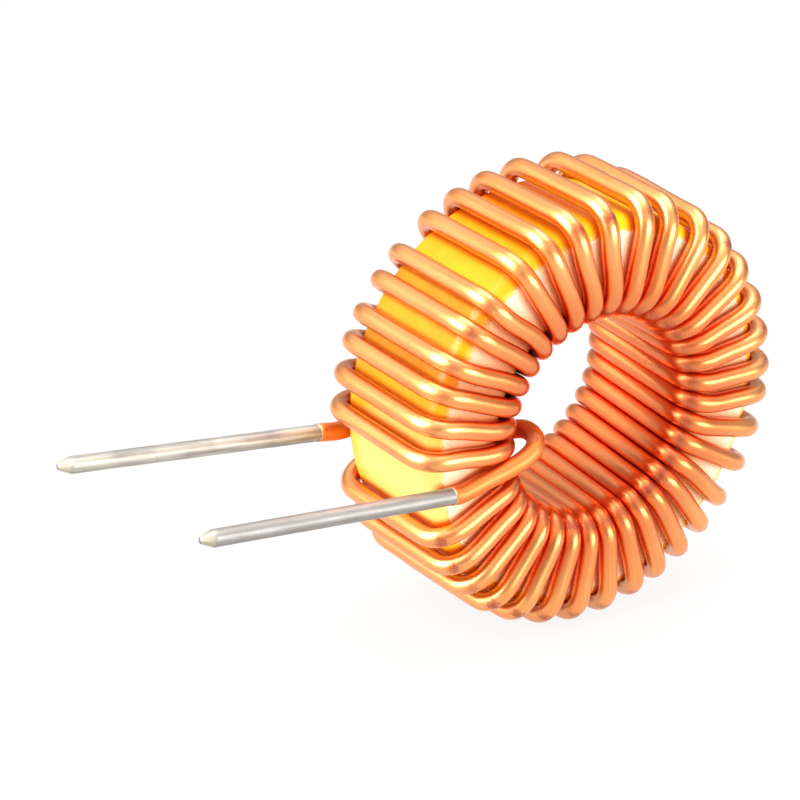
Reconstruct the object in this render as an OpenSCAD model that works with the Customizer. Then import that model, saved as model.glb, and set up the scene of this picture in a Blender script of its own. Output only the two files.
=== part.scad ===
// Toroidal inductor standing on its rim. One layer of enamelled copper wire is
// wound round a painted iron-powder ring core, and both wire ends are tinned.
// Millimetres, +Z up, axis of the ring along Y, wire ends pointing to -X.

/* [Core] */
// Outside diameter of the painted core
core_od = 24.2; // [21:0.1:30]
// Hole diameter of the painted core
core_id = 14.2; // [11:0.1:16]
// Thickness of the core along its axis
core_h = 8.8; // [5:0.1:14]
// Radius of the round edges of the core
core_edge_r = 1; // [0.5:0.05:1.8]

/* [Winding] */
// Diameter of the wire over its enamel
wire_d = 1.1; // [0.8:0.01:1.3]
// Clearance between the wire and the core
seat_gap = 0.02; // [0.01:0.01:0.1]
// Least clearance between neighbouring turns in the hole
turn_gap = 0.01; // [0.005:0.005:0.2]
// Angle round the ring at which the first turn crosses the front face
start_az = 180.3; // [170:0.1:190]
// Slant of the wire through the hole, in degrees round the ring
hole_lean = 5.2; // [0:0.1:8]
// Slant of the wire in the bend from the hole to the front face
bend_lean = 0.8; // [0:0.1:3]
// Slant of the wire across the rim
rim_lean = 0.6; // [0:0.1:3]
// How far the uppermost turns stand off the rim
top_slack = 0.35; // [0:0.05:0.8]
// How much further the back of the upper turns stands off the rim
back_slack = 0.4; // [0:0.05:0.8]
// How far the lower turns beside the leads stand off the rim
low_slack = 0.15; // [0:0.05:0.8]
// Angle round the ring that faces the floor, between two turns
stand_az = -93; // [-120:1:-60]
// Rings of the wire's mesh in each of its four bends
bend_rings = 5; // [3:1:5]

/* [Wire ends] */
// Diameter of the tinned wire
tin_d = 1.02; // [0.7:0.01:1.2]
// Tinned length of the near wire end
near_len = 16.8; // [8:0.1:30]
// Tinned length of the far wire end
far_len = 17.4; // [8:0.1:30]
// Rise of the near wire end from the ring's own level
near_rise = 7.5; // [-10:0.1:20]
// Rise of the far wire end from the ring's own level
far_rise = 8.8; // [-10:0.1:20]
// How far past the rim of the core the near tinning starts
near_reach = -1; // [-1.6:0.1:3.9]
// How far past the rim of the core the far tinning starts
far_reach = 1.4; // [0.9:0.1:5.9]
// Height of the near tinning's start against the ring's axis
near_level = -1.75; // [-2.2:0.05:-1]
// Height of the far tinning's start against the ring's axis
far_level = -1; // [-2:0.1:0]
// How far the near wire end loops into the hole
loop_in = 1.9; // [0.5:0.1:2.5]
// How far the near wire end's loop stands off the front face
loop_out = 0.4; // [0:0.05:1]
// Length of the cut point at each tip
tip_len = 0.8; // [0.3:0.05:2]
// Diameter of the blunt end of each tip
tip_d = 0.4; // [0.2:0.05:0.7]

/* [Hidden] */

wire_r = wire_d / 2;
sides = 8;
// The wire's centre line on the four walls of the core. The corners of the mesh
// clear the walls too, so a twisted wire cuts none of them.
wall_off = seat_gap + wire_r / cos(180 / sides);
bend_r = core_edge_r + wall_off;
ring_r = bend_r / cos(45 / bend_rings);
inner_r = core_id / 2 + core_edge_r;
outer_r = core_od / 2 - core_edge_r;
face_y = core_h / 2 - core_edge_r;
hole_r = core_id / 2 - wall_off;
lead_y = core_h / 2 + max(wall_off, seat_gap + tin_d / 2);

// The hole takes as many wires side by side as fit round it.
flat_r = hole_r - wire_r * tan(180 / sides);
touch_az = 2 * asin((wire_r / cos(hole_lean) + turn_gap / 2) / flat_r);
passes = floor(360 / touch_az);
turns = passes - 1;
pitch = 360 / passes;

// Hand winding drifts round the ring, and each turn crosses the front face at
// its own small angle.
sway = [
    -3, -2.5, -1.5, 0.5, 0.5, 2, 0, 0.5, 1.5, 1.5, -0.5, 1,
    -1, -1.5, -1.5, -2.5, -2.5, -2, 0, -0.5, -1.5, -3,
    -2.5, -2, -1.5, -0.5, -1, -1.5, -1.5, -1.5, -1, -1, 0, 0
];
function turn_sway(k) = sway[k % len(sway)];
function level_az(k) = start_az - k * pitch;
function drift(k) = -1.3 * cos(level_az(k)) - 1.05 * cos(2 * level_az(k));
squeeze = max([for (k = [0 : turns]) drift(k) - drift(k + 1)]);
hole_share = min(1, (pitch - touch_az) / squeeze);

// Angles round the ring where a wire leaves the hole, crosses the front face
// and reaches the rim.
function hole_az(k) = level_az(k) + hole_share * drift(k);
function spoke_az(k) = level_az(k) + drift(k) - bend_lean;
function rim_az(k) = level_az(k) + drift(k) + turn_sway(k);
function swell(a, mid) = pow(max(0, cos(a - mid)), 6);
function slack(a) = top_slack * swell(a, 78) + low_slack * swell(a, 220);
function lift(a) = slack(a) + back_slack * swell(a, 40);

function at(r, a, y) = [r * cos(a), y, r * sin(a)];
function mix(a, b, f) = a + (b - a) * f;
// Positions of the mesh rings along one bend, from 0 to 1.
steps = [for (i = [0 : bend_rings - 1]) (i + 0.5) / bend_rings];

function inner_front(a, b) = [
    for (f = steps)
        at(inner_r - ring_r * cos(90 * f), mix(a, b, f), -face_y - ring_r * sin(90 * f))
];
function outer_front(a, out) = [
    for (f = steps)
        at(outer_r + (ring_r + out) * sin(90 * f), a, -face_y - ring_r * cos(90 * f))
];
function outer_back(a, out) = [
    for (f = steps)
        at(outer_r + (ring_r + out) * cos(90 * f), a, face_y + ring_r * sin(90 * f))
];
function inner_back(a) = [
    for (f = steps)
        at(inner_r - ring_r * sin(90 * f), a, face_y + ring_r * cos(90 * f))
];
function turn(k) = concat(
    inner_front(hole_az(k), spoke_az(k)),
    outer_front(rim_az(k), slack(rim_az(k))),
    outer_back(rim_az(k) - rim_lean, lift(rim_az(k))),
    inner_back(hole_az(k + 1) + hole_lean)
);

// A smooth curve through hand-set points, without its last point.
function curve_at(a, b, c, d, f) =
    0.5 * (2 * b + (c - a) * f + (2 * a - 5 * b + 4 * c - d) * f * f
        + (3 * b - a - 3 * c + d) * f * f * f);
function smooth(p, parts) = [
    for (i = [1 : len(p) - 3], s = [0 : parts - 1])
        curve_at(p[i - 1], p[i], p[i + 1], p[i + 2], s / parts)
];

// The far end leaves the first pass on the back face. The near end leaves the
// last pass in a loose loop that stands into the hole and off the front face.
near_dir = [-cos(near_rise), 0, sin(near_rise)];
far_dir = [-cos(far_rise), 0, sin(far_rise)];
near_x = core_od / 2 + near_reach;
far_x = core_od / 2 + far_reach;
near_root = [-near_x, -lead_y, near_level];
far_root = [-far_x, lead_y, far_level];
far_az = hole_az(0) + hole_lean;
near_az = hole_az(turns);
far_run = concat(
    [far_root],
    smooth(
        [
            far_root + far_dir,
            far_root - 0.25 * wire_d * far_dir,
            [-mix(outer_r, far_x, 0.45), lead_y, 1.25 * far_level],
            [-outer_r, lead_y, 1.25 * far_level],
            at(mix(inner_r, outer_r, 0.5), far_az, lead_y),
            at(mix(inner_r, outer_r, 0.1), far_az, lead_y),
            at(inner_r, far_az, lead_y)
        ],
        2
    )
);
// Tinning starts at a step, and the tinned wire keeps the winding's flat sides
// until it is clear of the rim.
step_len = 0.05 * wire_d;
hug_len = max(0, -near_reach) + 0.8 * wire_d;
near_run = concat(
    smooth(
        [
            at(hole_r, near_az + hole_lean, face_y),
            at(hole_r - 0.05 * loop_in, near_az + 4, 0.44 * face_y),
            at(hole_r - 0.35 * loop_in, near_az + 0.5, -0.18 * face_y),
            at(hole_r - 0.7 * loop_in, near_az - 6, -0.59 * face_y),
            at(hole_r - loop_in, near_az - 10.5, -0.94 * face_y),
            at(hole_r - 0.9 * loop_in, near_az - 11, wire_r - lead_y),
            at(hole_r - 0.6 * loop_in, near_az - 9, -lead_y - 0.5 * loop_out),
            at(hole_r - 0.25 * loop_in, near_az - 6, -lead_y - loop_out),
            at(hole_r + 0.3 * wire_d, near_az - 4, -lead_y - loop_out),
            at(inner_r - 0.3 * wire_d, near_az - 2.5, -lead_y - 0.6 * loop_out),
            at(mix(inner_r, near_x, 0.3), near_az - 1.5, -lead_y - 0.2 * loop_out),
            [-mix(inner_r, near_x, 0.67), -lead_y, near_level],
            near_root - 0.25 * wire_d * near_dir,
            near_root
        ],
        2
    ),
    [near_root, near_root + step_len * near_dir, near_root + hug_len * near_dir]
);
route = concat(
    far_run,
    inner_back(far_az),
    [for (k = [0 : turns - 1]) each turn(k)],
    near_run
);

// Mesh rings square to the route, stretched at each corner so that the wire
// keeps its width between them.
function unit(v) = v / norm(v);
last = len(route) - 1;
function going(i) = unit(route[i + 1] - route[i]);
function before(i) = i == 0 ? going(0) : going(i - 1);
function after(i) = i == last ? going(last - 1) : going(i);
// The tinned stretch is a hair wider across its flats than the cylinder in it.
function ring_apothem(i) = i > last - 2 ? (tin_d + seat_gap) / 2 : wire_r;
function wire_ring(i) =
    let (u = before(i), v = after(i))
    let (t = unit(u + v), stretch = 1 / sqrt((1 + u * v) / 2))
    let (p = route[i], round_ring = unit([-p.z, 0, p.x]))
    let (b = unit(round_ring - (round_ring * t) * t), n = cross(t, b))
    [
        for (j = [0 : sides - 1])
            let (g = 360 / sides * (j + 0.5), r = ring_apothem(i) / cos(180 / sides))
            p + r * stretch * cos(g) * n + r * sin(g) * b
    ];
wire_points = [for (i = [0 : last]) each wire_ring(i)];
wire_sides = [
    for (i = [0 : last - 1], j = [0 : sides - 1])
        let (a = i * sides + j, b = i * sides + (j + 1) % sides)
        each [[a, b, b + sides], [a, b + sides, a + sides]]
];
wire_ends = [
    [for (j = [sides - 1 : -1 : 0]) j],
    [for (j = [0 : sides - 1]) last * sides + j]
];

// The part stands on two neighbouring turns, turned until both are level, with
// the origin on the floor under the middle of its outline.
low_turn = max([for (k = [0 : turns - 1]) if (rim_az(k) > stand_az) k]);
roll = -90 - (rim_az(low_turn) + rim_az(low_turn + 1) - rim_lean) / 2;
function rolled(p) = [p.x * cos(roll) - p.z * sin(roll), p.y, p.x * sin(roll) + p.z * cos(roll)];
near_tip = near_root + near_len * near_dir;
far_tip = far_root + far_len * far_dir;
stood = [for (p = wire_points) rolled(p)];
tips = [rolled(near_tip), rolled(far_tip)];
xs = [for (p = concat(stood, tips)) p.x];
ys = [for (p = concat(stood, tips)) p.y];
low_z = min([for (p = stood) p.z, for (p = tips) p.z - tin_d / 2]);
shift = [-(min(xs) + max(xs)) / 2, -(min(ys) + max(ys)) / 2, -low_z];

module standing() {
    translate(shift)
    rotate([0, -roll, 0])
    children();
}

module core_profile() {
    wall = (core_od - core_id) / 2;
    square([wall, core_h - 2 * core_edge_r], center = true);
    square([wall - 2 * core_edge_r, core_h], center = true);
    for (x = [-1, 1], y = [-1, 1])
        translate([x * (wall / 2 - core_edge_r), y * face_y])
        circle(r = core_edge_r, $fn = 48);
}

module core() {
    color("gold")
    standing()
    rotate([90, 0, 0])
    rotate_extrude($fn = 180)
    translate([(core_od + core_id) / 4, 0])
    core_profile();
}

// A tinned end from a given length out to its cut tip, started a little inside
// the sweep that it leaves.
module tinned_end(root, rise, from, length) {
    lap = 0.25 * wire_d;
    barrel = length - tip_len - from;
    translate(root)
    rotate([0, rise - 90, 0])
    translate([0, 0, from - lap]) {
        cylinder(d = tin_d, h = lap + barrel, $fn = 48);
        translate([0, 0, lap + barrel])
        cylinder(d1 = tin_d, d2 = tip_d, h = tip_len, $fn = 48);
    }
}

module winding() {
    color("peru")
    standing() {
        polyhedron(wire_points, concat(wire_sides, wire_ends));
        tinned_end(near_root, near_rise, hug_len, near_len);
        tinned_end(far_root, far_rise, 0, far_len);
    }
}

core();
winding();
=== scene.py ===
import math
import bpy
import numpy as np
from mathutils import Matrix, Vector


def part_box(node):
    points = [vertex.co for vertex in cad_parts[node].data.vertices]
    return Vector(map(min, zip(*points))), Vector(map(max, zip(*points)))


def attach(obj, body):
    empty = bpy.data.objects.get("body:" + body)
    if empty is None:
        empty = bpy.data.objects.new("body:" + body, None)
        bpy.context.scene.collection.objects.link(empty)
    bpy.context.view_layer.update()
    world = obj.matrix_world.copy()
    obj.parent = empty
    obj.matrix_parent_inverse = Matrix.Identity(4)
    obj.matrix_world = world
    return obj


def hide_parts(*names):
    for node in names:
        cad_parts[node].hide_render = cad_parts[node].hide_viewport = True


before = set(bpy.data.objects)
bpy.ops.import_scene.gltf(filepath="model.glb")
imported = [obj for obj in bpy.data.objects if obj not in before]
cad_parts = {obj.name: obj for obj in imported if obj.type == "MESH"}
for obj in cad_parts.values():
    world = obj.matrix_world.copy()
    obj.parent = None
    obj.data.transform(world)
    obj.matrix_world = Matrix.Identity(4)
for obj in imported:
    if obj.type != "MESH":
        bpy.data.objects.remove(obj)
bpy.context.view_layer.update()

# A toroidal inductor: one layer of enamelled copper wire round a painted ring core that stands
# on its rim. The wire's route is worked out in millimetres and degrees about the middle of the
# ring, whose axis is Y, and stand() takes it to the scene. Materials, lamps and camera are in
# the scene's own metres, apart from lengths along the wire.

scene = bpy.context.scene
mm = 0.001
print("frame loaded")


def cosDeg(a):
    # cosine of an angle in degrees
    return np.cos(np.radians(a))


def sinDeg(a):
    # sine of an angle in degrees
    return np.sin(np.radians(a))


def unit(v):
    # each vector over its own length
    return v / np.linalg.norm(v, axis=-1, keepdims=True)


def share(a, b, f):
    # the place a part f of the way from a to b
    return a + (b - a) * f


def smoothStep(f):
    # three times the square less twice the cube: level at 0 and at 1
    return f * f * (3 - 2 * f)


def inside(count):
    # even steps between 0 and 1, without either end
    return np.linspace(0, 1, count + 2)[1:-1]


def polar(r, a, y):
    # radius times cosine and sine of the angle round the ring, at y along its axis
    r, a, y = np.broadcast_arrays(r, a, y)
    return np.stack([r * cosDeg(a), y, r * sinDeg(a)], axis=-1)


def makeTube(name, rings, along, around):
    # rings[i, j] is place j of ring i. Quads join neighbours along the tube and round it, the
    # last place to the first, and a fan about the mean of each end ring closes the end. The UV
    # map is in millimetres, u along the tube and v round it
    ringCount, places = rings.shape[:2]
    i = np.arange(ringCount - 1)[:, None]
    j = np.arange(places)[None, :]
    here = i * places + j
    beside = i * places + (j + 1) % places
    quads = np.stack([here, beside, beside + places, here + places], axis=-1).reshape(-1, 4)
    k = np.arange(places)
    kNext = (k + 1) % places
    lastRing = (ringCount - 1) * places
    startMiddle = np.full(places, ringCount * places)
    startFan = np.stack([kNext, k, startMiddle], axis=-1)
    endFan = np.stack([lastRing + k, lastRing + kNext, startMiddle + 1], axis=-1)
    corners = rings.reshape(-1, 3)
    middles = corners[:places].mean(axis=0), corners[-places:].mean(axis=0)
    mesh = bpy.data.meshes.new(name)
    mesh.from_pydata(np.vstack([corners, *middles]).tolist(), [],
                     quads.tolist() + startFan.tolist() + endFan.tolist())
    ringOf, placeOf = quads // places, quads % places
    fullTurn = np.array([0, places, places, 0]) * (placeOf == 0)  # where a quad ends the way round
    uv = np.zeros((len(mesh.loops), 2), dtype=np.float32)
    uv[:quads.size, 0] = along[ringOf].ravel()
    uv[:quads.size, 1] = ((placeOf + fullTurn) / places * around).ravel()
    mesh.uv_layers.new(name="wireLength").data.foreach_set("uv", uv.ravel())
    mesh.polygons.foreach_set("use_smooth", np.ones(len(mesh.polygons), dtype=bool))
    mesh.update()
    piece = bpy.data.objects.new(name, mesh)
    scene.collection.objects.link(piece)
    return piece


coil = dict(
    ringOuter=24.2, ringHole=14.2, ringHeight=8.8, edgeRadius=1.0,
    wire=1.16, seatGap=0.005,
    endThinning=0.032, thinLength=7, thinFade=4,  # off the radius, at each end of the enamel
    startAngle=180.3, standAngle=-93,  # of the first turn, and between the two it stands on
    holeLean=5.2, bendLean=0.8, rimLean=0.6,  # how far a turn slants round the ring
    driftOnce=1.3, driftTwice=1.05,
    topSlack=0.35, lowSlack=0.15, backSlack=0.4,  # how far the loosest turns stand off
    topAngle=78, lowAngle=220, backAngle=40, swellPower=6,
    sway=(-3, -2.5, -1.5, 0.5, 0.5, 2, 0, 0.5, 1.5, 1.5, -0.5, 1,
          -1, -1.5, -1.5, -2.5, -2.5, -2, 0, -0.5, -1.5, -3,
          -2.5, -2, -1.5, -0.5, -1, -1.5, -1.5, -1.5, -1, -1, 0, 0),  # one for each turn
    ringPlaces=24, stepsInBend=11, stepsInHole=9, stepsOnFace=6, stepsOnRim=9, smoothings=2,
)

wallOff = coil["seatGap"] + coil["wire"] / 2
bendRadius = coil["edgeRadius"] + wallOff
innerRadius = coil["ringHole"] / 2 + coil["edgeRadius"]
outerRadius = coil["ringOuter"] / 2 - coil["edgeRadius"]
faceDepth = coil["ringHeight"] / 2 - coil["edgeRadius"]
holeRadius = coil["ringHole"] / 2 - wallOff

# the hole takes as many passes side by side as fit round it
halfPass = coil["wire"] / 2 / float(cosDeg(coil["holeLean"]))
touchAngle = 2 * math.degrees(math.asin(halfPass / holeRadius))
passCount = int(360 / touchAngle)
turnCount = passCount - 1
pitch = 360 / passCount


def levelAngle(k):
    # even spacing: k pitches back from the start
    return coil["startAngle"] - k * pitch


def drift(k):
    # slow wander of a hand-wound layer: one cosine wave round the ring and a double one
    a = levelAngle(k)
    return -coil["driftOnce"] * cosDeg(a) - coil["driftTwice"] * cosDeg(2 * a)


passes = np.arange(turnCount + 1)
squeeze = np.max(drift(passes) - drift(passes + 1))
holeShare = min(1, (pitch - touchAngle) / squeeze)  # of the drift: the full hole has no more room


def holeAngle(k):
    # even spacing plus the hole's share of the drift
    return levelAngle(k) + holeShare * drift(k)


def rimAngle(k):
    # even spacing plus the drift and the turn's own sway
    sway = np.array(coil["sway"], dtype=float)
    return levelAngle(k) + drift(k) + sway[k % len(sway)]


def swell(a, middle):
    # cosine of the angle from the middle, where it is above zero, to a high power
    return np.maximum(0, cosDeg(a - middle)) ** coil["swellPower"]


def slack(a):
    # how far a turn stands off the rim: one swelling near the top and one near the leads
    return (coil["topSlack"] * swell(a, coil["topAngle"])
            + coil["lowSlack"] * swell(a, coil["lowAngle"]))


def lift(a):
    # the slack plus a third swelling, at the back of the rim
    return slack(a) + coil["backSlack"] * swell(a, coil["backAngle"])


def turnRoute():
    # one row for each turn: bend, face, bend, rim, bend, back face, bend, hole. A bend is a
    # quarter circle in radius and depth, and between bends radius and depth go straight, but
    # for the slack along the rim. The angle goes straight or by a smooth step
    k = np.arange(turnCount)[:, None]
    holeFront = holeAngle(k)
    spoke = levelAngle(k) + drift(k) - coil["bendLean"]
    rim = rimAngle(k)
    rimBack = rim - coil["rimLean"]
    nextFront = holeAngle(k + 1)
    nextBack = nextFront + coil["holeLean"]
    frontSlack, backSlack = slack(rim), lift(rim)
    f = np.linspace(0, 1, coil["stepsInBend"])[None, :]
    rise, fall = sinDeg(90 * f), cosDeg(90 * f)
    g = inside(coil["stepsOnFace"])[None, :]
    h = inside(coil["stepsInHole"])[None, :]
    w = inside(coil["stepsOnRim"])[None, :]
    bend = bendRadius
    return [
        polar(innerRadius - bend * fall, share(holeFront, spoke, f), -faceDepth - bend * rise),
        polar(share(innerRadius, outerRadius, g), share(spoke, rim, smoothStep(g)),
              -faceDepth - bend),
        polar(outerRadius + (bend + frontSlack) * rise, rim, -faceDepth - bend * fall),
        polar(outerRadius + bend + share(frontSlack, backSlack, smoothStep(w)),
              share(rim, rimBack, w), share(-faceDepth, faceDepth, w)),
        polar(outerRadius + (bend + backSlack) * fall, rimBack, faceDepth + bend * rise),
        polar(share(outerRadius, innerRadius, g), share(rimBack, nextBack, smoothStep(g)),
              faceDepth + bend),
        polar(innerRadius - bend * rise, nextBack, faceDepth + bend * fall),
        polar(holeRadius, share(nextBack, nextFront, h), share(faceDepth, -faceDepth, h)),
    ]


def curveThrough(points, parts):
    # uniform Catmull-Rom: a cubic between each two points whose slope at a point is half the
    # step between its neighbours
    p = np.asarray(points, dtype=float)
    a, b, c, d = (p[i:len(p) - 3 + i, None, :] for i in range(4))
    f = (np.arange(parts) / parts)[None, :, None]
    cubic = 0.5 * (2 * b + (c - a) * f + (2 * a - 5 * b + 4 * c - d) * f ** 2
                   + (3 * b - a - 3 * c + d) * f ** 3)
    return cubic.reshape(-1, 3)


ends = dict(
    tin=1.02, off=0.615,  # off is from the wire's middle to the ring's face
    nearLength=16.8, nearRise=7.5, nearReach=-1.0, nearLevel=-1.75,  # reach is past the rim,
    farLength=17.4, farRise=8.8, farReach=1.4, farLevel=-1.0,  # and level over its middle
    loopIn=1.9, loopOut=0.4, runSteps=8,
    tipLength=0.8, tipWidth=0.4, lap=0.25,  # lap is inside the enamel
    longWave=(0.006, 1.9), shortWave=(0.004, 5.3), shortStart=1,  # share of radius, and radians
    tinPlaces=32, barrelSteps=60, tipSteps=14,
)

nearAim = np.array([-cosDeg(ends["nearRise"]), 0, sinDeg(ends["nearRise"])])
farAim = np.array([-cosDeg(ends["farRise"]), 0, sinDeg(ends["farRise"])])
leadDepth = coil["ringHeight"] / 2 + ends["off"]
nearX = coil["ringOuter"] / 2 + ends["nearReach"]
farX = coil["ringOuter"] / 2 + ends["farReach"]
nearRoot = np.array([-nearX, -leadDepth, ends["nearLevel"]])
farRoot = np.array([-farX, leadDepth, ends["farLevel"]])


def nearRun():
    # a smooth curve through listed points, from the last pass of the hole by a loose loop
    # to the root of the near end
    a = holeAngle(turnCount)
    loop, out, wide = ends["loopIn"], ends["loopOut"], coil["wire"]
    points = [
        polar(holeRadius, a + coil["holeLean"], faceDepth),
        polar(holeRadius - 0.05 * loop, a + 4, 0.44 * faceDepth),
        polar(holeRadius - 0.35 * loop, a + 0.5, -0.18 * faceDepth),
        polar(holeRadius - 0.7 * loop, a - 6, -0.59 * faceDepth),
        polar(holeRadius - loop, a - 10.5, -0.94 * faceDepth),
        polar(holeRadius - 0.9 * loop, a - 11, wide / 2 - leadDepth),
        polar(holeRadius - 0.6 * loop, a - 9, -leadDepth - 0.5 * out),
        polar(holeRadius - 0.25 * loop, a - 6, -leadDepth - out),
        polar(holeRadius + 0.3 * wide, a - 4, -leadDepth - out),
        polar(innerRadius - 0.3 * wide, a - 2.5, -leadDepth - 0.6 * out),
        polar(share(innerRadius, nearX, 0.3), a - 1.5, -leadDepth - 0.2 * out),
        [-share(innerRadius, nearX, 0.67), -leadDepth, ends["nearLevel"]],
        nearRoot - 0.25 * wide * nearAim,
        nearRoot,
    ]
    return np.vstack([curveThrough(points, ends["runSteps"]), nearRoot])


def farRun():
    # a smooth curve over the back face from the root of the far end, then a quarter circle
    # round the edge and a straight first pass of the hole
    a = holeAngle(0) + coil["holeLean"]
    level = ends["farLevel"]
    points = [
        farRoot + farAim,
        farRoot - 0.25 * coil["wire"] * farAim,
        [-share(outerRadius, farX, 0.45), leadDepth, 1.25 * level],
        [-outerRadius, leadDepth, 1.25 * level],
        polar(share(innerRadius, outerRadius, 0.5), a, leadDepth),
        polar(share(innerRadius, outerRadius, 0.1), a, leadDepth),
        polar(innerRadius, a, leadDepth),
    ]
    f = np.linspace(0, 1, coil["stepsInBend"])
    h = inside(coil["stepsInHole"])
    bend = polar(innerRadius - bendRadius * sinDeg(90 * f), a,
                 faceDepth + bendRadius * cosDeg(90 * f))
    through = polar(holeRadius, a - coil["holeLean"] * h, share(faceDepth, -faceDepth, h))
    return np.vstack([farRoot, curveThrough(points, ends["runSteps"]), bend, through])


def wholeRoute():
    # far run, turns and near run. Each smoothing gives a point half of itself and a quarter
    # of each neighbour
    turns = np.concatenate(turnRoute(), axis=1).reshape(-1, 3)
    turns = turns[:-coil["stepsInHole"]]  # the near run has the last pass of the hole
    route = np.vstack([farRun(), turns, nearRun()[1:]])
    for _ in range(coil["smoothings"]):
        between = 0.25 * route[:-2] + 0.5 * route[1:-1] + 0.25 * route[2:]
        route = np.vstack([route[:1], between, route[-1:]])
    return route


# the ring is where the CAD core is, and turned about its axis until the two lowest turns,
# those on either side of the angle it stands at, are level
ringMiddle = np.mean(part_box("core"), axis=0)
turnNumbers = np.arange(turnCount)
lowTurn = turnNumbers[rimAngle(turnNumbers) > coil["standAngle"]][-1]
roll = -90 - (rimAngle(lowTurn) + rimAngle(lowTurn + 1) - coil["rimLean"]) / 2


def stand(p):
    # turned by the roll about Y, made metres and moved to the ring's middle
    c, s = cosDeg(roll), sinDeg(roll)
    x, y, z = p[..., 0], p[..., 1], p[..., 2]
    return np.stack([x * c - z * s, y, x * s + z * c], axis=-1) * mm + ringMiddle


def circles(radius, places, first, second):
    # radius times cosine along the first axis plus sine along the second, once round
    angle = (360 * np.arange(places) / places)[None, :, None]
    return radius[:, None, None] * (cosDeg(angle) * first + sinDeg(angle) * second)


def sweep(route, radius, places):
    # a circle square to the route at each point: one axis follows the way round the ring, and
    # the other is square to that and to the route
    slope = unit(np.gradient(route, axis=0))
    roundRing = unit(np.stack([-route[:, 2], 0 * route[:, 0], route[:, 0]], axis=-1))
    side = unit(roundRing - np.sum(roundRing * slope, axis=-1, keepdims=True) * slope)
    normal = np.cross(slope, side)
    return route[:, None, :] + circles(radius, places, normal[:, None, :], side[:, None, :])


def wireRadius(along):
    # half the wire less the thinning, which fades out by a smooth step away from each end
    fromEnd = np.minimum(along, along[-1] - along)
    faded = smoothStep(np.clip((fromEnd - coil["thinLength"]) / coil["thinFade"], 0, 1))
    return coil["wire"] / 2 - coil["endThinning"] * (1 - faded)


def layWire():
    # the round wire swept along the whole route, whose length is the sum of its steps
    route = wholeRoute()
    steps = np.linalg.norm(np.diff(route, axis=0), axis=1)
    along = np.concatenate([[0], np.cumsum(steps)])
    rings = stand(sweep(route, wireRadius(along), coil["ringPlaces"]))
    return makeTube("copperWire", rings, along, math.pi * coil["wire"]), float(along[-1])


def tinnedEnd(name, root, aim, length):
    # a profile along a straight line: the radius of the tin less two sine waves of the dipped
    # coat, neither of which adds to it, and then a cone down to the cut tip
    barrel = length - ends["tipLength"]
    tipShare = np.linspace(0, 1, ends["tipSteps"])[1:]
    s = np.concatenate([np.linspace(-ends["lap"], barrel, ends["barrelSteps"]),
                        length - ends["tipLength"] * (1 - tipShare)])
    (longDip, longTurn), (shortDip, shortTurn) = ends["longWave"], ends["shortWave"]
    dip = (longDip * (1 + np.sin(s * longTurn))
           + shortDip * (1 + np.sin(s * shortTurn + ends["shortStart"])))
    cone = np.clip((s - barrel) / ends["tipLength"], 0, 1)
    radius = share(ends["tin"] / 2 * (1 - dip), ends["tipWidth"] / 2, cone)
    side = np.array([0.0, 1.0, 0.0])
    line = root + s[:, None] * aim
    rings = line[:, None, :] + circles(radius, ends["tinPlaces"], np.cross(aim, side), side)
    return makeTube(name, stand(rings), s - s[0], math.pi * ends["tin"])


wire, wireLength = layWire()
print("wire laid:", turnCount, "turns,", round(wireLength), "mm of enamelled length")
nearEnd = tinnedEnd("nearTinnedEnd", nearRoot, nearAim, ends["nearLength"])
farEnd = tinnedEnd("farTinnedEnd", farRoot, farAim, ends["farLength"])
print("tinned ends made")

for piece in (wire, nearEnd, farEnd):
    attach(piece, "root")
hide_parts("winding")


def srgb(r, g, b):
    # the standard curve from a screen value over 255 to a linear one: a straight foot, and
    # above it the power 2.4 of the value moved and scaled to meet it
    def one(v):
        v /= 255
        return v / 12.92 if v <= 0.04045 else ((v + 0.055) / 1.055) ** 2.4
    return (one(r), one(g), one(b), 1.0)


def feed(tree, node, inputs):
    # an input takes another node's output as a link, and anything else as its own value
    for key, value in inputs.items():
        if isinstance(value, bpy.types.NodeSocket):
            tree.links.new(value, node.inputs[key])
        else:
            node.inputs[key].default_value = value


def put(tree, kind, inputs=None, **settings):
    # one new node with its settings and inputs
    node = tree.nodes.new(kind)
    for key, value in settings.items():
        setattr(node, key, value)
    feed(tree, node, inputs or {})
    return node


def calc(tree, operation, first, second=0.0, third=0.0):
    # one step of arithmetic
    inputs = {0: first, 1: second, 2: third}
    return put(tree, "ShaderNodeMath", inputs, operation=operation).outputs[0]


def vectorCalc(tree, operation, first, second=(0, 0, 0)):
    # one step of arithmetic on vectors, or the length of one
    node = put(tree, "ShaderNodeVectorMath", {0: first, 1: second}, operation=operation)
    return node.outputs["Value" if operation == "LENGTH" else "Vector"]


def addUp(tree, start, *parts):
    # the start plus each value times its weight
    total = start
    for value, weight in parts:
        total = calc(tree, "MULTIPLY_ADD", value, weight, total)
    return total


def split(tree, vector):
    # x, y and z of a vector
    return put(tree, "ShaderNodeSeparateXYZ", {0: vector}).outputs


def join(tree, x, y, z=0.0):
    # a vector of x, y and z
    return put(tree, "ShaderNodeCombineXYZ", {0: x, 1: y, 2: z}).outputs[0]


def noise(tree, place, scale, detail=3.0, rough=0.5):
    # clouds about 0.5 whose size is one over the scale
    inputs = {"Vector": place, "Scale": scale, "Detail": detail, "Roughness": rough}
    return put(tree, "ShaderNodeTexNoise", inputs).outputs[0]


def spread(tree, value, low, high, toLow=0.0, toHigh=1.0):
    # a smooth step from low to high, given out between the two last values
    inputs = {"Value": value, "From Min": low, "From Max": high,
              "To Min": toLow, "To Max": toHigh}
    return put(tree, "ShaderNodeMapRange", inputs, interpolation_type="SMOOTHSTEP").outputs[0]


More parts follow.
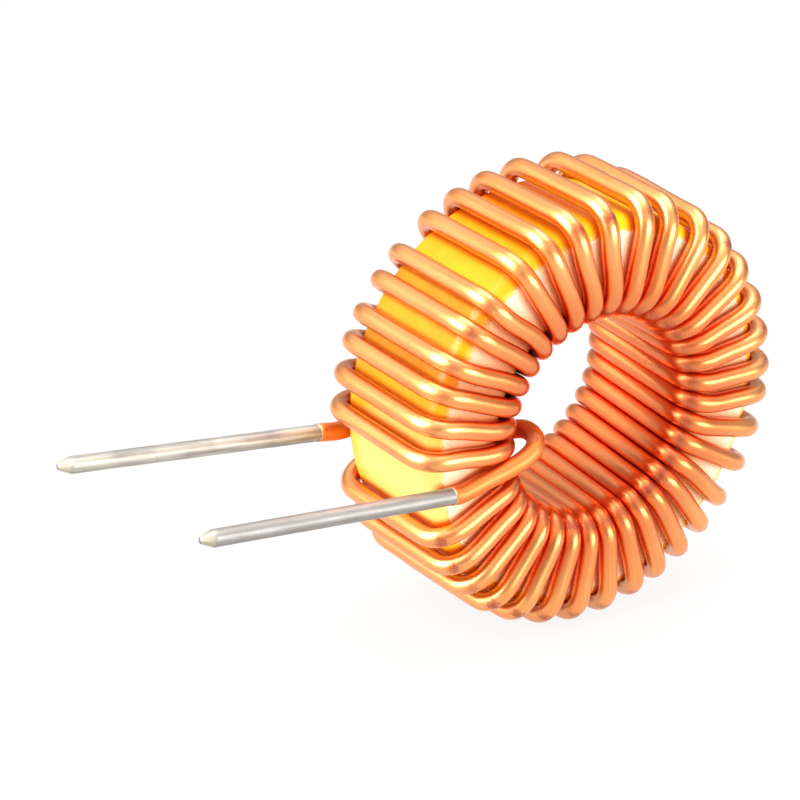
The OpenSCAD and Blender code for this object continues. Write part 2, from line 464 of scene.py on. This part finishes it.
def blend(tree, part, first, second):
    # the colour that part of the way from the first to the second
    return put(tree, "ShaderNodeMix", {0: part, 6: first, 7: second}, data_type="RGBA").outputs[2]


def cover(tree, color, mask, most, tint):
    # the tint over the colour, by the mask times the most there may be of it
    return blend(tree, calc(tree, "MULTIPLY", mask, most), color, tint)


def openness(tree, reach, samples):
    # how much of the open air within reach a place can see, 1 where nothing is near it
    node = put(tree, "ShaderNodeAmbientOcclusion", {"Distance": reach}, samples=samples)
    return node.outputs["AO"]


def bumped(tree, height, distance):
    # a normal leaned by the slope of the height times the distance
    inputs = {"Strength": 1.0, "Distance": distance, "Height": height}
    return put(tree, "ShaderNodeBump", inputs).outputs[0]


def wireMap(tree):
    # place along the wire and round it, in millimetres
    return put(tree, "ShaderNodeUVMap", uv_map="wireLength").outputs[0]


def ownPlace(tree):
    # place in the scene, which is a piece's own since each one sits at the origin
    return put(tree, "ShaderNodeTexCoord").outputs["Object"]


def fromAxis(tree, arm):
    # length of the arm with its part along Y left out
    return vectorCalc(tree, "LENGTH", vectorCalc(tree, "MULTIPLY", arm, (1, 0, 1)))


def newGroup(name, takes, gives):
    # takes holds each input's name and starting value, a number or a vector, and gives lists
    # the outputs, which are all numbers
    tree = bpy.data.node_groups.new(name, "ShaderNodeTree")
    for label, start in takes.items():
        kind = "NodeSocketVector" if isinstance(start, tuple) else "NodeSocketFloat"
        socket = tree.interface.new_socket(name=label, in_out="INPUT", socket_type=kind)
        socket.default_value = start
    for label in gives:
        tree.interface.new_socket(name=label, in_out="OUTPUT", socket_type="NodeSocketFloat")
    inlet = tree.nodes.new("NodeGroupInput")
    return tree, inlet.outputs, tree.nodes.new("NodeGroupOutput")


def drawnStreaks():
    # noise stretched along the wire. The angle is the way round over the radius, and its cosine
    # and sine make a circle, so that the streaks close on themselves. The fine ones are four
    # times as fine round the wire and two and a half times as fine along it
    tree, takes, outlet = newGroup(
        "drawnStreaks", {"Wire Length": (0, 0, 0), "Radius": 0.55, "Reach": 8.0, "Width": 0.2},
        ["Broad", "Fine"])
    onWire = split(tree, takes["Wire Length"])
    angle = calc(tree, "DIVIDE", onWire["Y"], takes["Radius"])
    arm = calc(tree, "DIVIDE", takes["Radius"], takes["Width"])
    spot = join(tree, calc(tree, "MULTIPLY", calc(tree, "COSINE", angle), arm),
                calc(tree, "MULTIPLY", calc(tree, "SINE", angle), arm),
                calc(tree, "DIVIDE", onWire["X"], takes["Reach"]))
    finer = vectorCalc(tree, "MULTIPLY", spot, (4.0, 4.0, 2.5))
    feed(tree, outlet, {"Broad": noise(tree, spot, 1.0, 2.0),
                        "Fine": noise(tree, finer, 1.0, 4.0, 0.6)})
    return tree


def surfaceGrain():
    # clouds and grain are noises as fine as one over their size. Specks are round dots at the
    # middles of cells about three grains wide, in that share of the cells
    tree, takes, outlet = newGroup(
        "surfaceGrain",
        {"Place": (0, 0, 0), "Cloud Size": 0.004, "Grain Size": 0.0002, "Speck Share": 0.1},
        ["Clouds", "Grain", "Specks"])
    cloudScale = calc(tree, "DIVIDE", 1.0, takes["Cloud Size"])
    grainScale = calc(tree, "DIVIDE", 1.0, takes["Grain Size"])
    cellScale = calc(tree, "MULTIPLY", grainScale, 0.35)
    cells = put(tree, "ShaderNodeTexVoronoi", {"Vector": takes["Place"], "Scale": cellScale},
                feature="F1").outputs
    lot = put(tree, "ShaderNodeSeparateColor", {0: cells["Color"]}).outputs[0]
    picked = calc(tree, "LESS_THAN", lot, takes["Speck Share"])
    dots = spread(tree, cells["Distance"], 0.32, 0.16)
    feed(tree, outlet, {"Clouds": noise(tree, takes["Place"], cloudScale),
                        "Grain": noise(tree, takes["Place"], grainScale, 3.0, 0.65),
                        "Specks": calc(tree, "MULTIPLY", dots, picked)})
    return tree


def tornPatch():
    # a patch round one point: one less the distance over the reach, plus noise between less
    # and more than nothing by the tear, in lumps a third of the reach across
    tree, takes, outlet = newGroup(
        "tornPatch", {"Place": (0, 0, 0), "Middle": (0, 0, 0), "Reach": 0.001, "Tear": 0.6},
        ["Patch"])
    away = vectorCalc(tree, "LENGTH", vectorCalc(tree, "SUBTRACT", takes["Place"], takes["Middle"]))
    near = calc(tree, "SUBTRACT", 1.0, calc(tree, "DIVIDE", away, takes["Reach"]))
    tearScale = calc(tree, "DIVIDE", 3.0, takes["Reach"])
    torn = calc(tree, "SUBTRACT", noise(tree, takes["Place"], tearScale, 5.0, 0.65), 0.5)
    edge = calc(tree, "MULTIPLY_ADD", torn, calc(tree, "MULTIPLY", takes["Tear"], 2.0), near)
    feed(tree, outlet, {"Patch": spread(tree, edge, 0.1, 0.45)})
    return tree


def paintLimit():
    # the bare front face of the ring: between two radii, each blurred over the soft width, and
    # moved in and out by a slow noise a millimetre across and by the fine droplets of a
    # sprayed coat
    tree, takes, outlet = newGroup(
        "paintLimit",
        {"Place": (0, 0, 0), "Middle": (0, 0, 0), "Inner": 0.008, "Outer": 0.011, "Soft": 0.0003},
        ["Face", "Rim Distance"])
    arm = vectorCalc(tree, "SUBTRACT", takes["Place"], takes["Middle"])
    flat = fromAxis(tree, arm)
    wander = calc(tree, "SUBTRACT", noise(tree, takes["Place"], 900.0, 2.0), 0.5)
    drops = calc(tree, "SUBTRACT", noise(tree, takes["Place"], 7000.0, 2.0, 0.6), 0.5)
    torn = addUp(tree, 0.0, (wander, 2.4), (drops, 5.0))
    tornFlat = calc(tree, "ADD", flat, calc(tree, "MULTIPLY", torn, takes["Soft"]))
    pastOuter = calc(tree, "SUBTRACT", tornFlat, takes["Outer"])
    pastInner = calc(tree, "SUBTRACT", takes["Inner"], tornFlat)
    within = [spread(tree, calc(tree, "DIVIDE", past, takes["Soft"]), 0.5, -0.5)
              for past in (pastOuter, pastInner)]
    front = calc(tree, "LESS_THAN", split(tree, arm)["Y"], 0.0)
    feed(tree, outlet, {
        "Face": calc(tree, "MULTIPLY", calc(tree, "MULTIPLY", within[0], within[1]), front),
        "Rim Distance": calc(tree, "SUBTRACT", takes["Outer"], flat)})
    return tree


groups = dict(streaks=drawnStreaks(), grain=surfaceGrain(), tornPatch=tornPatch(), limit=paintLimit())
print("shader groups made")


def use(tree, name, inputs):
    # a shader group with the material's own values
    return put(tree, "ShaderNodeGroup", inputs, node_tree=groups[name]).outputs


def newMaterial(name):
    # an empty material with one shader
    material = bpy.data.materials.new(name)
    material.use_nodes = True
    tree = material.node_tree
    tree.nodes.clear()
    shader = tree.nodes.new("ShaderNodeBsdfPrincipled")
    put(tree, "ShaderNodeOutputMaterial", {"Surface": shader.outputs["BSDF"]})
    return material, tree, shader


# in the materials a pair or a set of four numbers is what spread() takes after the value, a
# share is the most of its colour that a layer may lay over the ones before it, and the reliefs
# are weights of the height, all of it times the last of them
enamel = dict(
    bright=srgb(253, 176, 102), deep=srgb(250, 154, 76), tone=(0.35, 0.65),
    broadTone=0.5, cloudTone=0.5,
    cloudSize=0.005, grainSize=0.0001, speckShare=0.04, streakReach=9.0, streakWidth=0.22,
    # painted shade: the wire darker and redder on the hole's side, between the two radii
    holeShade=srgb(230, 108, 32), holeShadeShare=0.75, innerRadii=(0.0122, 0.0066),
    worn=srgb(190, 104, 62), lines=(0.56, 0.74), lineShare=0.12, wornSpeckShare=0.3,
    # brown: a painted dark reflection at the crowns of the front bends
    brown=srgb(168, 58, 32), crownReflectionShare=0.85, crownReach=0.00062, crownTear=0.0012,
    tearScale=4200.0, chanceScale=260.0, chance=(0.38, 0.6, 0.35, 1.0),
    # painted shade in the creases between turns: brown on the rim, red towards the hole
    shade=srgb(212, 142, 88), redCreaseShade=srgb(238, 84, 18), towardsRedShade=(0.0, 0.3),
    creaseReach=0.0022, creaseSamples=6, crease=(0.6, 0.12, 0.0, 0.9),
    rubbed=srgb(236, 196, 180), rubbedShare=0.8, loopMark=(0.00325, -0.0048, 0.01345),
    loopReach=0.0006,
    heated=srgb(228, 126, 60), heatedShare=0.7, heat=(12.5, 9.0), heatWander=3.0, heatLoss=0.8,
    tin=srgb(222, 214, 204), raggedLength=0.16, raggedScale=1800.0, bare=(0.02, 0.14),
    rough=0.33, streakRough=0.08, cloudRough=0.08, heatRough=0.2, markRough=0.25,
    crownRough=0.15,
    coatRough=0.21, coatCloudRough=0.1, coatDensity=1.5, rim=srgb(255, 220, 196),
    broadRelief=0.4, fineRelief=0.2, grainRelief=0.2, markRelief=-2.0, relief=0.000012,
)


def paintedCrownReflection(tree, place, fromRing, away):
    # the mask of a painted dark reflection at the crowns of the front bends, stronger on some
    # turns than on others: in radius and depth a round spot about the outside of each bend at
    # 45 degrees, with noise added to the distance
    crown = (bendRadius + coil["wire"] / 2) * mm * float(cosDeg(45))
    depth = calc(tree, "ADD", split(tree, fromRing)["Y"], faceDepth * mm + crown)
    spots = [vectorCalc(tree, "LENGTH", join(tree, calc(tree, "SUBTRACT", away, radius), depth))
             for radius in (outerRadius * mm + crown, innerRadius * mm - crown)]
    torn = calc(tree, "SUBTRACT", noise(tree, place, enamel["tearScale"], 4.0, 0.7), 0.5)
    nearest = calc(tree, "MINIMUM", spots[0], spots[1])
    nearest = calc(tree, "MULTIPLY_ADD", torn, enamel["crownTear"], nearest)
    chance = spread(tree, noise(tree, place, enamel["chanceScale"], 2.0), *enamel["chance"])
    return calc(tree, "MULTIPLY", spread(tree, nearest, enamel["crownReach"], 0.0), chance)


def enamelledCopper(length):
    # copper colours under a clear coat, laid one over another: tone by noise, then painted shade
    # on the hole's side, drawn lines, a painted dark reflection on the crowns of the front bends,
    # specks, painted shade in the creases between turns, the mark on the loop, the heated ends,
    # and bare tin past the enamel's torn edge
    material, tree, shader = newMaterial("enamelledCopper")
    measure, place = wireMap(tree), ownPlace(tree)
    streaks = use(tree, "streaks", {
        "Wire Length": measure, "Radius": coil["wire"] / 2,
        "Reach": enamel["streakReach"], "Width": enamel["streakWidth"]})
    grain = use(tree, "grain", {
        "Place": place, "Cloud Size": enamel["cloudSize"], "Grain Size": enamel["grainSize"],
        "Speck Share": enamel["speckShare"]})
    mark = use(tree, "tornPatch", {"Place": place, "Middle": enamel["loopMark"],
                                "Reach": enamel["loopReach"]})["Patch"]
    along = split(tree, measure)["X"]
    toEnd = calc(tree, "MINIMUM", along, calc(tree, "SUBTRACT", length, along))
    heat = calc(tree, "MULTIPLY_ADD", grain["Clouds"], enamel["heatWander"], toEnd)
    heat = spread(tree, heat, *enamel["heat"])
    unheated = calc(tree, "MULTIPLY_ADD", heat, -enamel["heatLoss"], 1.0)
    fromRing = vectorCalc(tree, "SUBTRACT", place, tuple(ringMiddle))
    away = fromAxis(tree, fromRing)
    inward = calc(tree, "MULTIPLY", spread(tree, away, *enamel["innerRadii"]), unheated)
    crownReflectionMask = paintedCrownReflection(tree, place, fromRing, away)
    torn = calc(tree, "MULTIPLY", noise(tree, place, enamel["raggedScale"], 4.0, 0.6),
                enamel["raggedLength"])
    bare = spread(tree, calc(tree, "SUBTRACT", torn, toEnd), *enamel["bare"])

    tone = addUp(tree, 0.0, (streaks["Broad"], enamel["broadTone"]),
                 (grain["Clouds"], enamel["cloudTone"]))
    color = blend(tree, spread(tree, tone, *enamel["tone"]), enamel["bright"], enamel["deep"])
    # painted shade: darker and redder towards the hole
    color = cover(tree, color, inward, enamel["holeShadeShare"], enamel["holeShade"])
    lines = spread(tree, streaks["Fine"], *enamel["lines"])
    color = cover(tree, color, lines, enamel["lineShare"], enamel["worn"])
    color = cover(tree, color, crownReflectionMask, enamel["crownReflectionShare"], enamel["brown"])
    color = cover(tree, color, grain["Specks"], enamel["wornSpeckShare"], enamel["worn"])
    # painted shade in the creases between turns, brown on the rim and red towards the hole, laid
    # where little open air is seen
    towardsRedShade = spread(tree, inward, *enamel["towardsRedShade"])
    creaseShadeColor = blend(tree, towardsRedShade, enamel["shade"], enamel["redCreaseShade"])
    air = openness(tree, enamel["creaseReach"], enamel["creaseSamples"])
    color = blend(tree, spread(tree, air, *enamel["crease"]), color, creaseShadeColor)
    color = cover(tree, color, mark, enamel["rubbedShare"], enamel["rubbed"])
    color = cover(tree, color, heat, enamel["heatedShare"], enamel["heated"])
    color = blend(tree, bare, color, enamel["tin"])

    # both noises are about a half, so half of what they may add comes off first
    evenRough = enamel["rough"] - (enamel["streakRough"] + enamel["cloudRough"]) / 2
    relief = addUp(
        tree, 0.0, (streaks["Broad"], enamel["broadRelief"]),
        (streaks["Fine"], enamel["fineRelief"]), (grain["Grain"], enamel["grainRelief"]),
        (mark, enamel["markRelief"]))
    feed(tree, shader, {
        "Base Color": color, "Metallic": 1.0, "Specular Tint": enamel["rim"],
        "Roughness": addUp(
            tree, evenRough, (streaks["Fine"], enamel["streakRough"]),
            (grain["Clouds"], enamel["cloudRough"]), (heat, enamel["heatRough"]),
            (mark, enamel["markRough"]), (crownReflectionMask, enamel["crownRough"])),
        "Coat Weight": calc(tree, "MULTIPLY", unheated, calc(tree, "SUBTRACT", 1.0, bare)),
        "Coat IOR": enamel["coatDensity"],
        "Coat Roughness": addUp(tree, enamel["coatRough"],
                                (grain["Clouds"], enamel["coatCloudRough"])),
        "Normal": bumped(tree, relief, enamel["relief"])})
    return material


tin = dict(
    nearBright=srgb(170, 166, 162), farBright=srgb(200, 195, 182), dull=srgb(154, 149, 144),
    tone=(0.36, 0.64), broadTone=0.6, cloudTone=0.4,
    cloudSize=0.0025, grainSize=0.00016, speckShare=0.2,
    streakReach=5.0, streakWidth=0.3,
    brown=srgb(150, 128, 112), lines=(0.6, 0.75), lineShare=0.16, brownSpeckShare=0.2,
    copper=srgb(206, 196, 164), copperShare=0.6, cut=(-0.1, 0.25), cutLength=0.9,
    cutScale=2200.0,
    rough=0.47, streakRough=0.12, cloudRough=0.12,
    broadRelief=0.9, cloudRelief=0.8, grainRelief=0.5, relief=0.00002,
)


def tinnedWire(name, length, bright):
    # dull tin whose tone is drawn out along the wire, with brown lines and specks, and a
    # little of the copper at the cut point
    material, tree, shader = newMaterial(name)
    measure, place = wireMap(tree), ownPlace(tree)
    streaks = use(tree, "streaks", {
        "Wire Length": measure, "Radius": ends["tin"] / 2,
        "Reach": tin["streakReach"], "Width": tin["streakWidth"]})
    grain = use(tree, "grain", {
        "Place": place, "Cloud Size": tin["cloudSize"], "Grain Size": tin["grainSize"],
        "Speck Share": tin["speckShare"]})
    tone = addUp(tree, 0.0, (streaks["Broad"], tin["broadTone"]),
                 (grain["Clouds"], tin["cloudTone"]))
    color = blend(tree, spread(tree, tone, *tin["tone"]), bright, tin["dull"])
    lines = spread(tree, streaks["Fine"], *tin["lines"])
    color = cover(tree, color, lines, tin["lineShare"], tin["brown"])
    color = cover(tree, color, grain["Specks"], tin["brownSpeckShare"], tin["brown"])
    fromTip = calc(tree, "SUBTRACT", length, split(tree, measure)["X"])
    torn = calc(tree, "MULTIPLY", noise(tree, place, tin["cutScale"]), tin["cutLength"])
    cut = spread(tree, calc(tree, "SUBTRACT", torn, fromTip), *tin["cut"])
    color = cover(tree, color, cut, tin["copperShare"], tin["copper"])
    relief = addUp(
        tree, 0.0, (grain["Clouds"], tin["cloudRelief"]),
        (streaks["Broad"], tin["broadRelief"]), (grain["Grain"], tin["grainRelief"]))
    feed(tree, shader, {
        "Base Color": color, "Metallic": 1.0,
        "Roughness": addUp(
            tree, tin["rough"] - tin["streakRough"] / 2,
            (streaks["Fine"], tin["streakRough"]), (grain["Clouds"], tin["cloudRough"])),
        "Normal": bumped(tree, relief, tin["relief"])})
    return material


paint = dict(
    yellow=srgb(255, 212, 28), amber=srgb(255, 196, 10), tone=(0.35, 0.65),
    cloudSize=0.003, grainSize=0.00018, speckShare=0.05,
    # pale yellow: thin paint along the front edge, with a painted highlight on its rounding
    paleAndHighlight=srgb(254, 230, 132), paleAndHighlightShare=0.85, edge=(-0.0004, 0.0001), edgeShare=0.55,
    # a paler patch of the yellow between the leads
    gapMiddle=(-0.0034, -0.001, 0.0110), gapReach=0.006, gapTear=0.12,
    # painted shade in orange: close to the wire on the yellow, and in the narrowest gaps of the cream
    orangeShade=srgb(240, 108, 0), cornerReach=0.0007, corner=(0.76, 0.38),
    cream=srgb(255, 246, 226), chalk=srgb(254, 234, 208), chalky=(0.35, 0.7),
    # painted shade on the cream face under the wire
    creamShade=srgb(255, 206, 124), creamShadeShare=0.8, crevice=(0.64, 0.32),
    shadeReach=0.0016, shadeSamples=8, deepShade=(0.42, 0.14, 0.0, 0.9),
    faceInset=0.0008, overlap=0.00022, soft=0.00016,
    speck=srgb(190, 140, 86), darkSpeckShare=0.4,
    rough=0.28, faceRough=0.3, grainRough=0.12, gloss=0.25,
    cloudRelief=0.6, grainRelief=0.5, relief=0.000015,
)


def corePaint():
    # yellow paint, pale on the front edge, where it is thin and where a highlight on the rounded
    # edge is painted in, and pale between the leads, with painted orange shade close to the wire,
    # and the cream face that it leaves bare, with painted shade where the wire stands over it
    material, tree, shader = newMaterial("corePaint")
    place = ownPlace(tree)
    limit = use(tree, "limit", {
        "Place": place, "Middle": tuple(ringMiddle), "Soft": paint["soft"],
        "Inner": innerRadius * mm - paint["faceInset"],
        "Outer": outerRadius * mm + paint["overlap"]})
    grain = use(tree, "grain", {
        "Place": place, "Cloud Size": paint["cloudSize"], "Grain Size": paint["grainSize"],
        "Speck Share": paint["speckShare"]})
    # the patch between the leads, where the yellow is paler
    gap = use(tree, "tornPatch", {
        "Place": place, "Middle": paint["gapMiddle"], "Reach": paint["gapReach"],
        "Tear": paint["gapTear"]})["Patch"]
    air = openness(tree, paint["shadeReach"], paint["shadeSamples"])
    cornerAir = openness(tree, paint["cornerReach"], paint["shadeSamples"])

    tone = spread(tree, grain["Clouds"], *paint["tone"])
    yellow = blend(tree, tone, paint["yellow"], paint["amber"])
    # pale yellow: thin paint and a painted highlight along the front edge, and the paler patch
    # between the leads
    edge = spread(tree, limit["Rim Distance"], *paint["edge"])
    pale = calc(tree, "MAXIMUM", calc(tree, "MULTIPLY", edge, paint["edgeShare"]), gap)
    yellow = cover(tree, yellow, pale, paint["paleAndHighlightShare"], paint["paleAndHighlight"])
    # painted shade: orange where the wire stands close over the paint
    corner = spread(tree, cornerAir, *paint["corner"])
    yellow = blend(tree, corner, yellow, paint["orangeShade"])

    chalky = spread(tree, grain["Grain"], *paint["chalky"])
    cream = blend(tree, chalky, paint["cream"], paint["chalk"])
    # painted shade on the cream where the wire stands over it, orange in the deepest gaps
    crevice = spread(tree, air, *paint["crevice"])
    cream = cover(tree, cream, crevice, paint["creamShadeShare"], paint["creamShade"])
    cream = blend(tree, spread(tree, air, *paint["deepShade"]), cream, paint["orangeShade"])

    color = blend(tree, limit["Face"], yellow, cream)
    color = cover(tree, color, grain["Specks"], paint["darkSpeckShare"], paint["speck"])
    relief = addUp(tree, 0.0, (grain["Clouds"], paint["cloudRelief"]),
                   (grain["Grain"], paint["grainRelief"]))
    feed(tree, shader, {
        "Base Color": color, "Specular IOR Level": paint["gloss"],
        "Roughness": addUp(tree, paint["rough"], (limit["Face"], paint["faceRough"]),
                           (grain["Grain"], paint["grainRough"])),
        "Normal": bumped(tree, relief, paint["relief"])})
    return material


wire.data.materials.append(enamelledCopper(wireLength))
nearEnd.data.materials.append(tinnedWire("nearTin", ends["nearLength"], tin["nearBright"]))
farEnd.data.materials.append(tinnedWire("farTin", ends["farLength"], tin["farBright"]))
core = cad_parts["core"]
core.data.materials.clear()
core.data.materials.append(corePaint())
print("materials set")

shot = dict(
    position=(-0.099775, -0.132072, 0.085582), heading=36.3207, drop=23.2356, tilt=2.436,
    lens=140.724, sensor=36, nearest=0.005, farthest=20,
)


def placeCamera():
    # heading is turned from +Y towards +X, drop is below the horizon, and tilt turns the
    # picture about the line of sight
    h, d, t = (math.radians(shot[key]) for key in ("heading", "drop", "tilt"))
    forward = Vector((math.sin(h) * math.cos(d), math.cos(h) * math.cos(d), -math.sin(d)))
    level = forward.cross(Vector((0, 0, 1))).normalized()
    right = level * math.cos(t) + level.cross(forward) * math.sin(t)
    up = right.cross(forward)
    turn = Matrix((right, up, -forward)).transposed()
    data = bpy.data.cameras.new("shotCamera")
    data.sensor_width = shot["sensor"]
    data.lens = shot["lens"]
    data.clip_start = shot["nearest"]
    data.clip_end = shot["farthest"]
    camera = bpy.data.objects.new("shotCamera", data)
    camera.matrix_world = Matrix.Translation(Vector(shot["position"])) @ turn.to_4x4()
    scene.collection.objects.link(camera)
    scene.camera = camera


placeCamera()

# a box's heading is from +X towards +Y and its rise above the horizon. All surfaces see its
# strength, only glossy ones its shine, and all but those its fill
room = dict(
    low=0.46, high=1.35, riseLow=22, riseHigh=58,
    target=(0.009, 0, 0.0132), distance=0.5, behind=dict(strength=0, shine=0.01, fill=0.02),
    boxes=(
        dict(name="frontBox", heading=-73, rise=8, size=(0.42, 0.24),
             strength=4.4, shine=3.2, fill=3.0),
        dict(name="leftBox", heading=168, rise=29, size=(0.42, 0.5),
             strength=2.2, shine=9.5, fill=0.0),
        dict(name="topBox", heading=20, rise=78, size=(0.34, 0.34),
             strength=3.0, shine=1.2, fill=0.0),
    ),
)


def seenBy(tree, *kinds):
    # one for a ray of any of these kinds: the largest of their flags
    flags = put(tree, "ShaderNodeLightPath").outputs
    largest = flags[kinds[0]]
    for kind in kinds[1:]:
        largest = calc(tree, "MAXIMUM", largest, flags[kind])
    return largest


def paleRoom():
    # light that is low up to the first rise above the horizon and high past the second, by a
    # smooth step in height between them, and plain white to the camera
    world = bpy.data.worlds.new("paleRoom")
    scene.world = world
    world.use_nodes = True
    tree = world.node_tree
    height = split(tree, put(tree, "ShaderNodeTexCoord").outputs["Generated"])["Z"]
    low, high = float(sinDeg(room["riseLow"])), float(sinDeg(room["riseHigh"]))
    light = spread(tree, height, low, high, room["low"], room["high"])
    seen = seenBy(tree, "Is Camera Ray", "Is Transmission Ray")
    level = calc(tree, "MULTIPLY_ADD", seen, calc(tree, "SUBTRACT", 1.0, light), light)
    feed(tree, tree.nodes["Background"], {"Color": (1, 1, 1, 1), "Strength": level})


paleRoom()
scene.view_settings.view_transform = "Standard"


def softbox(box, kind):
    # a flat lamp that faces the target from the box's distance: its power is its brightness
    # times its area times pi
    width, height = box["size"]
    aim = Vector((cosDeg(box["rise"]) * cosDeg(box["heading"]),
                  cosDeg(box["rise"]) * sinDeg(box["heading"]), sinDeg(box["rise"])))
    data = bpy.data.lights.new(box["name"] + kind, "AREA")
    data.shape = "RECTANGLE"
    data.size = width
    data.size_y = height
    data.energy = box[kind] * width * height * math.pi
    lamp = bpy.data.objects.new(box["name"] + kind, data)
    lamp.location = Vector(room["target"]) + aim * (room["distance"] + room["behind"][kind])
    lamp.rotation_euler = aim.to_track_quat("Z", "Y").to_euler()
    lamp.visible_diffuse = kind != "shine"
    lamp.visible_glossy = kind != "fill"
    scene.collection.objects.link(lamp)


for box in room["boxes"]:
    for kind in ("strength", "shine", "fill"):
        if box[kind] > 0:
            softbox(box, kind)

ground = dict(
    size=1.5, level=-0.00002,  # a hair under the turns that stand on it
    dark=(0.88, 0.88, 0.88, 1), pale=(0.92, 0.92, 0.92, 1), mottleScale=40.0,
    rough=0.16, mottleRough=0.06, glow=0.88,
)


def paleFloor():
    # a square that shines white by the glow's share as it is looked at, with the rest its own
    # lit colour so that the shadow of the coil stays
    size, level = ground["size"], ground["level"]
    corners = [(-size, -size, level), (size, -size, level), (size, size, level), (-size, size, level)]
    mesh = bpy.data.meshes.new("floor")
    mesh.from_pydata(corners, [], [(0, 1, 2, 3)])
    floor = bpy.data.objects.new("floor", mesh)
    scene.collection.objects.link(floor)
    material, tree, shader = newMaterial("paleFloor")
    mottle = noise(tree, ownPlace(tree), ground["mottleScale"], 4.0)
    feed(tree, shader, {
        "Base Color": blend(tree, mottle, ground["dark"], ground["pale"]),
        "Roughness": addUp(tree, ground["rough"], (mottle, ground["mottleRough"]))})
    glow = put(tree, "ShaderNodeEmission", {"Color": (1, 1, 1, 1), "Strength": 1.0})
    seen = seenBy(tree, "Is Glossy Ray", "Is Transmission Ray", "Is Camera Ray")
    mixed = put(tree, "ShaderNodeMixShader", {
        0: calc(tree, "MULTIPLY", seen, ground["glow"]), 1: shader.outputs[0], 2: glow.outputs[0]})
    feed(tree, tree.nodes["Material Output"], {"Surface": mixed.outputs[0]})
    mesh.materials.append(material)


paleFloor()
print("camera, floor and light set")
